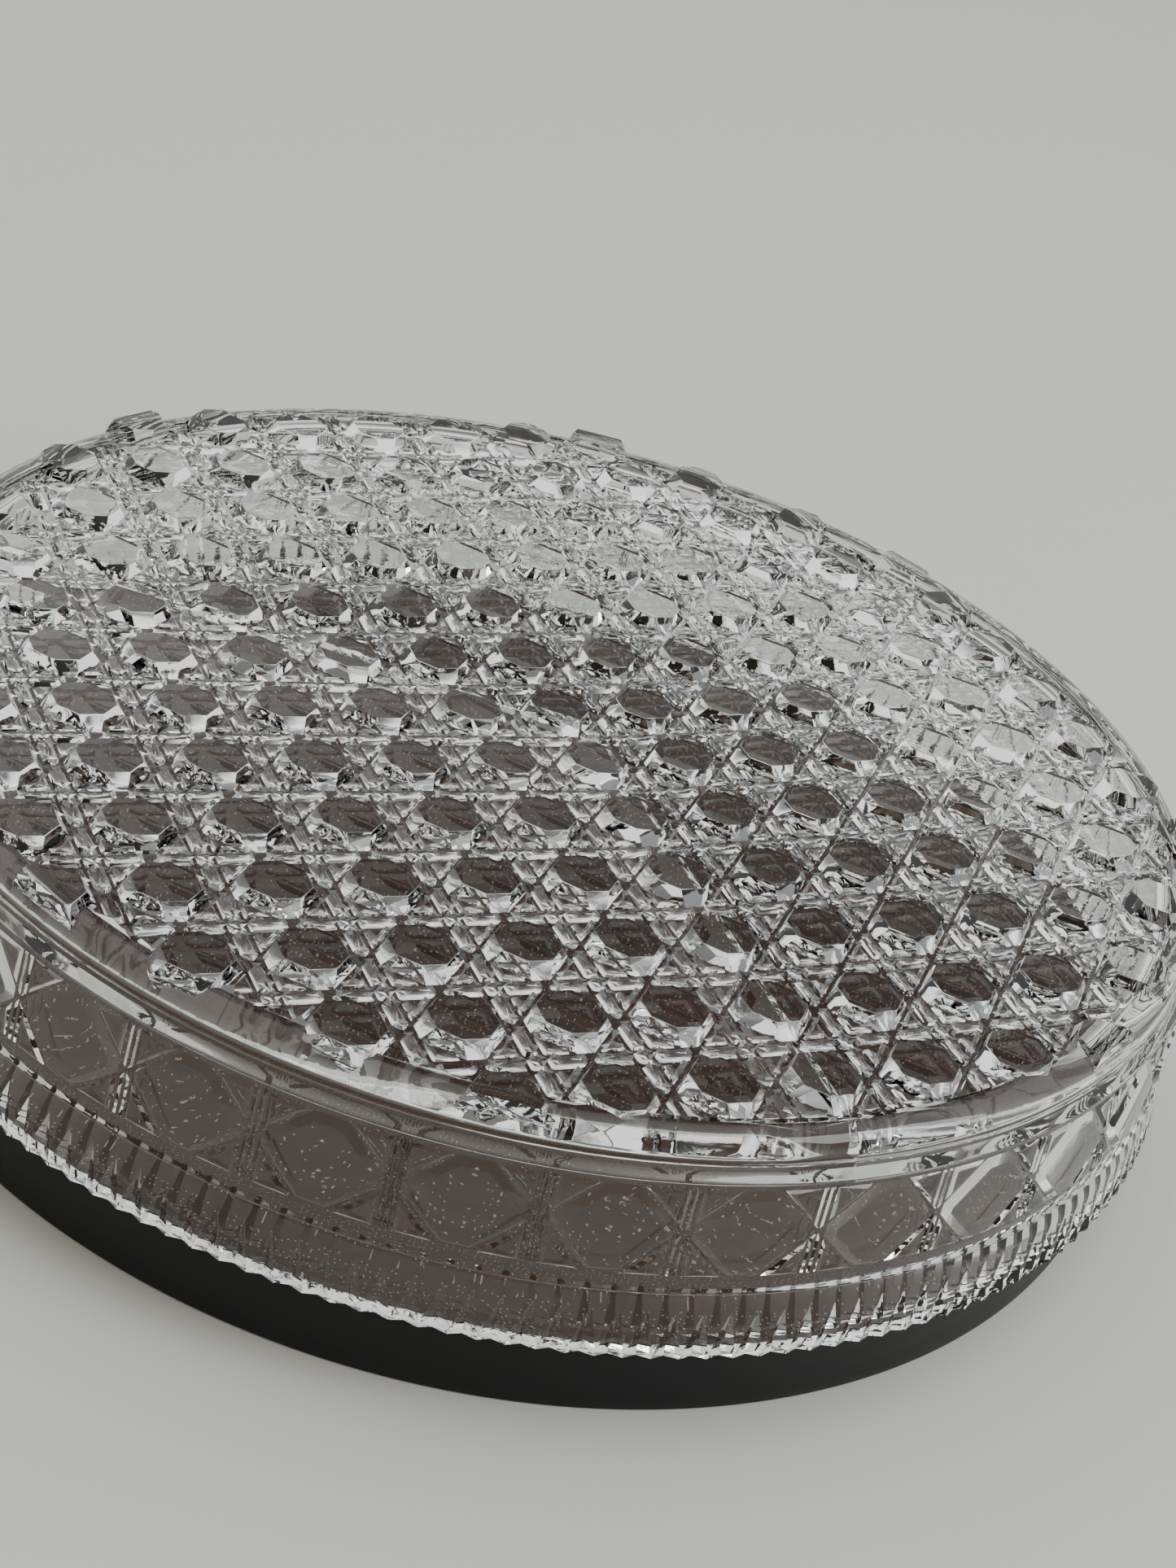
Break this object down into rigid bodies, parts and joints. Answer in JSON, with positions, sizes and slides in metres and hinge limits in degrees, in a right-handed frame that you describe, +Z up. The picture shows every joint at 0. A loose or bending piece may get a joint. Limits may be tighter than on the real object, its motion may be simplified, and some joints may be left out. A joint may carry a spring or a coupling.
{
  "type": "cheese dome",
  "caption": "Shallow round pressed-glass cheese cover with a cane-weave pattern and a serrated rim, resting on a round dark board with a black edge.",
  "frame": {"origin": "middle of the underside of the board, on the surface it stands on", "axes": "+Z up, along the common axis of board and cover and the way the cover lifts off; +X lies midway between two seams of the pressed pattern"},
  "size_m": [0.3, 0.3, 0.0668],
  "materials": {
    "pressed_glass": "gloss",
    "dark_wood": "satin",
    "core_wood": "matte",
    "black_edge": "satin"
  },
  "bodies": {
    "board": {"board_core": "core_wood", "top_veneer": "dark_wood", "base_veneer": "dark_wood", "edge_band": "black_edge"},
    "cover": {"glass_cover": "pressed_glass"}
  },
  "joints": [
    {"name": "cover_lift", "type": "slide", "parent": "board", "child": "cover", "axis": [0, 0, 1], "range_m": [0, 0.12]}
  ]
}
